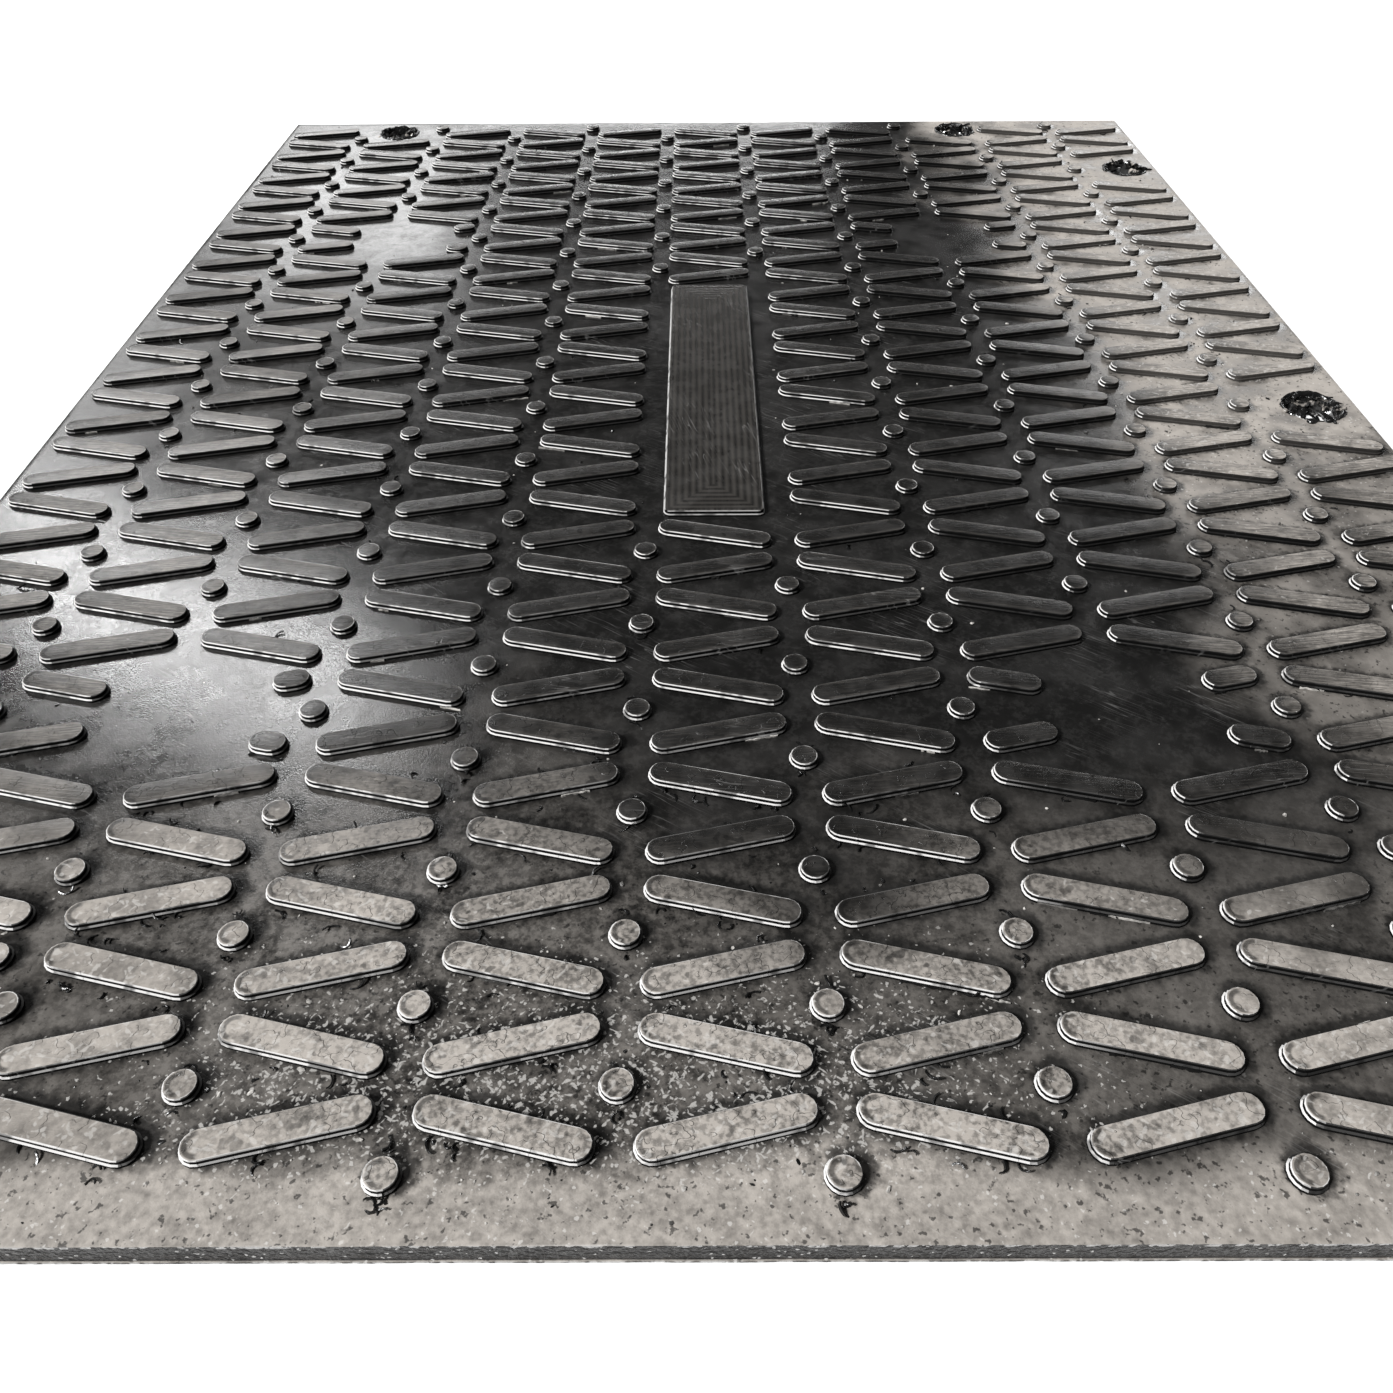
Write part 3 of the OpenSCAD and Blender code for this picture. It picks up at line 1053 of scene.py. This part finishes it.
    lip = times(tree, ramp(tree, level[2], 0.0026, 0.0018), ramp(tree, grit, 0.42, 0.55))
    ragged = ramp(tree, grit, 0.44, 0.64, 0.0, 0.0042)  # how far the pale edge hangs down the side
    rim = maths(tree, "SUBTRACT", level[2], maths(tree, "SUBTRACT", sheetTop, maths(tree, "MAXIMUM", ragged, 0.0006)))
    rim = times(tree, ramp(tree, rim, -0.0002, 0.0004), ramp(tree, upward, 0.97, 0.8))
    chips = times(tree, bits, maths(tree, "SUBTRACT", 1.0, flat))
    worn = maths(tree, "MULTIPLY", maths(tree, "MAXIMUM", maths(tree, "MAXIMUM", lip, rim), chips), 0.6)
    colour = blend(tree, worn, colour, tints["paleWearAndHighlight"])

    rough = maths(tree, "MULTIPLY_ADD", cover, 0.45, looks["roughness"])
    dull = maths(tree, "MULTIPLY_ADD", mottle, 0.09, maths(tree, "MULTIPLY", grit, 0.10))
    rough = maths(tree, "ADD", rough, dull, clamp=True)

    near = ramp(tree, level[1], -0.35, 0.25, looks["fineGrain"], looks["fineGrain"] * 0.12)
    grain = useGroup(tree, grainGroup, "Height", Place=place, Fine=near, Broad=looks["broadGrain"])
    sideGrain = times(tree, cloud(tree, place, 0.0045, 1.0), maths(tree, "SUBTRACT", 1.0, flat))
    height = maths(tree, "MULTIPLY_ADD", sideGrain, 0.0020, grain)
    finishMaterial(tree, shader, colour, rough, height)
    return material


def makeTreadRubber(name, looks):
    material, tree, shader, place, normal, level = startMaterial(name)
    upward = heightOf(tree, normal)
    onTop = times(tree, ramp(tree, upward, 0.9, 0.98), maths(tree, "GREATER_THAN", level[2], cadHigh.z - 0.0016))
    gloss = ramp(tree, level[1], -0.1, 0.6, looks["specular"], looks["specular"] * 1.8)  # the far tops shine most
    tone = node(tree, "ShaderNodeAttribute", attribute_name="tone").outputs["Fac"]
    gloss = times(tree, gloss, maths(tree, "MULTIPLY_ADD", tone, 0.9, 0.55))
    gloss = maths(tree, "MULTIPLY_ADD", maths(tree, "SUBTRACT", gloss, 0.08), onTop, 0.08)
    tree.links.new(gloss, shader.inputs["Specular IOR Level"])
    if looks["marks"]:
        inset = useGroup(
            tree, boxInsetGroup, "Inset", Place=place, Half_Width=mat["plateSize"][0] / 2, Half_Length=mat["plateSize"][1] / 2
        )
        streakPlace, leftEnd = place, 0.0
        streakScale = (250, 22, 1)
    else:
        flatPlace = node(tree, "ShaderNodeUVMap", uv_map="topFace").outputs[0]
        halfReach = node(tree, "ShaderNodeAttribute", attribute_name="halfReach").outputs["Fac"]
        inset = useGroup(
            tree, barInsetGroup, "Inset", Flat=flatPlace, Half_Reach=halfReach, Half_Width=cleat["width"] / 2
        )
        # the drift with the object's place keeps the streaks of two cleats apart
        streakPlace = node(tree, "ShaderNodeVectorMath", {0: flatPlace, 1: place}, operation="ADD").outputs[0]
        streakScale = (20, 330, 1)
        alongBar = node(tree, "ShaderNodeSeparateXYZ", {0: flatPlace}).outputs[0]
        leftEnd = ramp(tree, maths(tree, "ADD", alongBar, halfReach), 0.002, -0.002)

    # dust; on the tops at the far left it paints sheen as well
    dust = useGroup(tree, dustAndSheenGroup, "Mask", Place=place, **looks["dust"])
    broad = useGroup(tree, patchGroup, "Mask", Place=place, Size=0.03, Low=0.34, High=0.62)
    fine = useGroup(tree, patchGroup, "Mask", Place=place, Size=0.004, Low=0.34, High=0.64)
    stretched = node(tree, "ShaderNodeVectorMath", {0: streakPlace, 1: streakScale}, operation="MULTIPLY").outputs[0]
    streak = node(tree, "ShaderNodeTexNoise", {"Vector": stretched, "Scale": 1.0, "Detail": 3.0, "Roughness": 0.65})
    streak = ramp(tree, streak.outputs[0], 0.35, 0.68)
    awayFromFront = ramp(tree, level[1], -0.75, -0.5)
    toSide = ramp(tree, maths(tree, "ABSOLUTE", level[0]), 0.15, 0.45)
    fineShare = maths(tree, "MULTIPLY_ADD", maths(tree, "MAXIMUM", awayFromFront, toSide), -0.40, 0.60)
    texture = maths(tree, "MULTIPLY_ADD", broad, 0.36, maths(tree, "MULTIPLY_ADD", fineShare, -0.5, 0.56))
    texture = maths(tree, "MULTIPLY_ADD", fine, fineShare, texture)
    drawn = maths(tree, "MULTIPLY_ADD", streak, 1.0, 0.4)
    if not looks["marks"]:  # painted sheen: the left part of a top is darker, the right part lighter
        drawn = times(tree, drawn, ramp(tree, maths(tree, "DIVIDE", alongBar, maths(tree, "ADD", halfReach, 0.01)), -1.0, 0.4, 0.42, 1.25))
    texture = times(tree, texture, maths(tree, "MULTIPLY_ADD", awayFromFront, maths(tree, "SUBTRACT", drawn, 1.0), 1.0))
    cover = times(tree, dust, texture, maths(tree, "MULTIPLY_ADD", tone, 0.35, 0.85))
    drawn = maths(tree, "MULTIPLY_ADD", times(tree, streak, streak), 0.3 if looks["marks"] else 2.2, 0.6 if looks["marks"] else 0.1)
    worn = times(tree, drawn, maths(tree, "MULTIPLY_ADD", tone, 0.9, 0.5))
    cover = maths(tree, "MULTIPLY_ADD", worn, looks["worn"], cover)
    border = times(tree, ramp(tree, inset, 0.0050, 0.0016), maths(tree, "MULTIPLY_ADD", streak, 0.9, 0.1), awayFromFront)
    cover = maths(tree, "MULTIPLY_ADD", border, looks["border"], cover)
    # painted shade: a darker crescent just inside the rim at the left end of each top
    paintedShadeCrescent = times(tree, leftEnd, ramp(tree, inset, 0.0012, 0.0022), ramp(tree, inset, 0.0058, 0.0040), 0.7)
    cover = times(tree, cover, onTop, maths(tree, "SUBTRACT", 1.0, paintedShadeCrescent))
    dustySides = times(tree, dust, ramp(tree, level[0], 0.34, 0.56), ramp(tree, level[1], -0.35, 0.0), 0.13)
    cover = maths(tree, "ADD", cover, times(tree, dustySides, maths(tree, "SUBTRACT", 1.0, onTop)), clamp=True)

    colour = blend(tree, times(tree, broad, broad, onTop, 0.8), tints["rubber"], tints["rubberPale"])
    colour = blend(tree, ramp(tree, upward, 0.6, 0.2), colour, tints["side"])
    colour = blend(tree, cover, colour, tints["dust"])

    strokes = useGroup(tree, strokeGroup, "Mask", Place=place, Size=0.0055, Cover=maths(tree, "MULTIPLY", dust, 0.8))
    strokes = times(tree, strokes, onTop, ramp(tree, dust, 0.1, 0.6))
    colour = blend(tree, maths(tree, "MULTIPLY", strokes, 0.35), colour, tints["dustPale"])
    flakes = cloud(tree, shifted(tree, place, (1.3, 0.7, 0)), 0.013, 2.5)
    outline = ramp(tree, maths(tree, "ABSOLUTE", maths(tree, "SUBTRACT", flakes, 0.57)), 0.012, 0.003)
    darkBits = maths(tree, "MAXIMUM", outline, ramp(tree, flakes, 0.36, 0.30))
    darkBits = times(tree, darkBits, maths(tree, "MULTIPLY_ADD", toSide, -0.4, 0.6))
    colour = blend(tree, darkBits, colour, tints["rubber"])
    lines = useGroup(tree, scratchGroup, "Mask", Place=place, Turn=looks["scratchTurn"], Length=0.09, Width=0.006, Share=0.5)
    colour = blend(tree, maths(tree, "MULTIPLY", lines, 0.14), colour, tints["paleWearAndHighlight"])

    # painted highlight on the rounded top edges and the ledges, strongest on the sides that face the front left
    rim = times(tree, ramp(tree, inset, 0.0013, 0.0007), ramp(tree, upward, 0.2, 0.5))
    rim = times(tree, rim, maths(tree, "GREATER_THAN", level[2], cadHigh.z - 0.0016))
    lowPart = maths(tree, "LESS_THAN", level[2], footTop + 0.0003)
    ledge = times(tree, lowPart, ramp(tree, upward, 0.3, 0.6))
    least = 0.5 if looks["marks"] else times(tree, ramp(tree, level[1], -0.65, -0.3, 0.13, 0.02), ramp(tree, level[0], 0.1, 0.3, 1.0, 0.4))
    highlitSide = useGroup(tree, edgeHighlightGroup, "Mask", Normal=normal, Place=place, Least=least)
    gaps = useGroup(tree, patchGroup, "Mask", Place=place, Size=0.018, Low=0.36, High=0.5)
    paintedEdgeHighlight = times(tree, maths(tree, "MAXIMUM", rim, ledge), maths(tree, "MULTIPLY_ADD", gaps, 0.7, 0.3), highlitSide)
    colour = blend(tree, maths(tree, "MULTIPLY", paintedEdgeHighlight, looks["edgeHighlight"]), colour, tints["paleWearAndHighlight"])

    dusty = maths(tree, "MAXIMUM", cover, times(tree, dust, maths(tree, "SUBTRACT", 1.0, onTop)))
    rough = maths(tree, "MULTIPLY_ADD", dusty, 0.45, looks["roughness"])
    if not looks["marks"]:
        rough = maths(tree, "ADD", rough, maths(tree, "MULTIPLY_ADD", streak, -0.14, 0.07))
        rough = maths(tree, "ADD", rough, ramp(tree, level[1], 0.3, 0.9, 0.0, -0.06), clamp=True)

    grain = useGroup(tree, grainGroup, "Height", Place=place, Fine=looks["fineGrain"], Broad=looks["broadGrain"])
    height = grain
    if not looks["marks"]:
        height = maths(tree, "MULTIPLY_ADD", streak, ramp(tree, level[1], -0.1, 0.5, 0.00007, 0.00001), height)
        sink = maths(tree, "SUBTRACT", cleat["width"] / 2, inset)
        height = maths(tree, "MULTIPLY_ADD", times(tree, sink, sink), -4.4, height)  # slightly domed tops
    if not looks["marks"]:
        height = maths(tree, "MULTIPLY_ADD", ramp(tree, flakes, 0.56, 0.585), ramp(tree, level[1], -0.7, -0.4, 0.0003, 0.0001), height)
    if looks["marks"]:
        wave = maths(tree, "MULTIPLY", inset, 2 * math.pi / plate["markStep"])
        wave = maths(tree, "MULTIPLY_ADD", maths(tree, "COSINE", wave), 0.5, 0.5)
        faint = maths(tree, "MULTIPLY_ADD", useGroup(tree, patchGroup, "Mask", Place=place, Size=0.09, Low=0.25, High=0.55), 0.5, 0.5)
        marks = times(tree, wave, ramp(tree, inset, 0.003, 0.007), faint, onTop)
        colour = blend(tree, maths(tree, "MULTIPLY", marks, 0.07), colour, tints["dust"])
        rough = maths(tree, "MULTIPLY_ADD", marks, -0.08, rough)
        height = maths(tree, "MULTIPLY_ADD", marks, plate["markDepth"], height)
    finishMaterial(tree, shader, colour, rough, height)
    return material


def makeMelted():
    material, tree, shader, place, normal, level = startMaterial("melted_rubber")
    patches = useGroup(tree, patchGroup, "Mask", Place=place, Size=0.012, Low=0.45, High=0.7)
    colour = blend(tree, patches, tints["melted"], tints["rubberPale"])
    tone = node(tree, "ShaderNodeAttribute", attribute_name="tone").outputs["Fac"]
    dusty = times(tree, ramp(tree, tone, 0.74, 0.86), ramp(tree, cloud(tree, place, 0.006, 2.0), 0.42, 0.60))
    colour = blend(tree, dusty, colour, tints["dust"])
    rough = maths(tree, "MULTIPLY_ADD", patches, 0.35, 0.14)
    height = useGroup(tree, grainGroup, "Height", Place=place, Fine=0.0002, Broad=0.0008)
    finishMaterial(tree, shader, colour, rough, height)
    return material


def makeLitter():  # dark shavings to pale crumbs, by the tone of each
    material, tree, shader, place, normal, level = startMaterial("loose_matter")
    tone = node(tree, "ShaderNodeAttribute", attribute_name="tone").outputs["Fac"]
    pale = ramp(tree, tone, 0.35, 0.75)
    patches = useGroup(tree, patchGroup, "Mask", Place=place, Size=0.004, Low=0.35, High=0.65)
    pale = times(tree, pale, maths(tree, "MULTIPLY_ADD", patches, 0.5, 0.5))
    colour = blend(tree, pale, tints["melted"], tints["crumb"])
    rough = maths(tree, "MULTIPLY_ADD", pale, 0.5, 0.28)
    height = useGroup(tree, grainGroup, "Height", Place=place, Fine=0.0002, Broad=0.0)
    finishMaterial(tree, shader, colour, rough, height)
    return material


# The camera, lights and floor

view = {
    "lens": 29.666,
    "place": (-0.0159, -1.2617, 0.6924),
    "turn": (46.984, 0.265, -0.049),
}
# each lamp: place, the point it faces, its two sides and its power
lamps = {
    "streakLamp": ((-2.05, 2.18, 2.2), (-3.0, 0.27, 0), (2.0, 0.20), 70),
    "leftLamp": ((-2.55, 3.2, 1.6), (-2.55, 3.2, 0), (0.7, 2.0), 22),
    "farLeftLamp": ((-1.85, 5.2, 1.6), (-1.85, 5.2, 0), (1.2, 2.6), 60),
    "farLamp": ((-0.3, 7.2, 1.6), (-0.3, 7.2, 0), (2.4, 1.2), 95),
    "rightLamp": ((2.3, 4.8, 1.6), (2.3, 4.8, 0), (1.0, 3.6), 85),
}
sun = {"power": 5.8, "softness": 12, "turn": (49, 0, -62)}


def addCamera():
    camera = bpy.data.objects.new("camera", bpy.data.cameras.new("camera"))
    camera.data.lens = view["lens"]
    camera.data.sensor_width = 36
    camera.data.clip_end = 100
    camera.location = view["place"]
    camera.rotation_euler = Euler([math.radians(angle) for angle in view["turn"]])
    bpy.context.scene.collection.objects.link(camera)
    bpy.context.scene.camera = camera


def addLamp(name, place, target, size, power):
    lamp = bpy.data.lights.new(name, "AREA")
    lamp.shape = "RECTANGLE"
    lamp.size, lamp.size_y = size
    lamp.energy = power
    light = bpy.data.objects.new(name, lamp)
    light.location = place
    light.rotation_euler = (Vector(target) - Vector(place)).to_track_quat("-Z", "Y").to_euler()
    light.visible_camera = False
    bpy.context.scene.collection.objects.link(light)


def addSun():  # the even light from the front left
    lamp = bpy.data.lights.new("frontSun", "SUN")
    lamp.energy = sun["power"]
    lamp.angle = math.radians(sun["softness"])
    light = bpy.data.objects.new("frontSun", lamp)
    light.rotation_euler = Euler([math.radians(angle) for angle in sun["turn"]])
    bpy.context.scene.collection.objects.link(light)


def addStage():
    clearSelection()
    bpy.ops.mesh.primitive_plane_add(size=40)
    floor = bpy.context.object
    floor.name = "floor"
    paint = bpy.data.materials.new("floor")
    paint.use_nodes = True
    paint.node_tree.nodes["Principled BSDF"].inputs["Base Color"].default_value = (0.88, 0.88, 0.88, 1)
    paint.node_tree.nodes["Principled BSDF"].inputs["Roughness"].default_value = 0.9
    paint.node_tree.nodes["Principled BSDF"].inputs["Specular IOR Level"].default_value = 0.1
    floor.data.materials.append(paint)
    world = bpy.data.worlds.new("studio")
    world.use_nodes = True
    world.node_tree.nodes["Background"].inputs["Color"].default_value = (1, 1, 1, 1)
    world.node_tree.nodes["Background"].inputs["Strength"].default_value = 0.07
    bpy.context.scene.world = world
    bpy.context.scene.view_settings.view_transform = "Standard"
    addSun()
    for name, (place, target, size, power) in lamps.items():
        addLamp(name, place, target, size, power)
    print("camera, lights and floor set")


sheetLooks = {
    "dust": {
        "Front_Start": -0.47, "Front_Full": -0.84, "Front": 0.27, "Strip": 1.18, "Side": 1.02, "Left": 0.03, "Base": 0.006,
    },
    "specular": 0.32,
    "roughness": 0.11,
    "fineGrain": 0.00012,
    "broadGrain": 0.00006,
}
# on the tread, the far left dust share also paints sheen, and the edge share sets the strength of the painted highlight
# on the rounded edges
treadLooks = {
    "dust": {
        "Front_Start": -0.56, "Front_Full": -0.80, "Front": 0.88, "Strip": 0.0, "Side": 0.95, "Left": 0.28, "Base": 0.006,
    },
    "worn": 0.018,
    "border": 0.10,
    "specular": 0.25,
    "roughness": 0.25,
    "fineGrain": 0.00002,
    "broadGrain": 0.00020,
    "scratchTurn": 0.1,
    "edgeHighlight": 0.95,
    "marks": False,
}
plateLooks = {
    **treadLooks, "worn": 0.050, "fineGrain": 0.00001, "broadGrain": 0.0001, "scratchTurn": 1.3, "edgeHighlight": 0.6, "marks": True,
}

addCamera()
addStage()
sheetPiece = makeSheet()
cleatPiece, cleatPlaces = makeCleats()
studPiece, studPlaces = makeStuds()
platePiece = makePlate()
treadPlaces = cleatPlaces + studPlaces
markFootShadowGap(sheetPiece, treadPlaces)
treadRubber = makeTreadRubber("tread_rubber", treadLooks)
meltedRubber = makeMelted()
looseMatter = makeLitter()
print("materials made")
settle(sheetPiece, makeSheetRubber(sheetLooks))
settle(cleatPiece, treadRubber)
settle(studPiece, treadRubber)
settle(platePiece, makeTreadRubber("plate_rubber", plateLooks))
for piece in (makeLinings(), makeHoleShreds(), makeHoleBlobs()):
    settle(piece, meltedRubber)
for piece in (makeCurls(treadPlaces), makeFlash(treadPlaces), makeCrumbs(treadPlaces)):
    settle(piece, looseMatter)
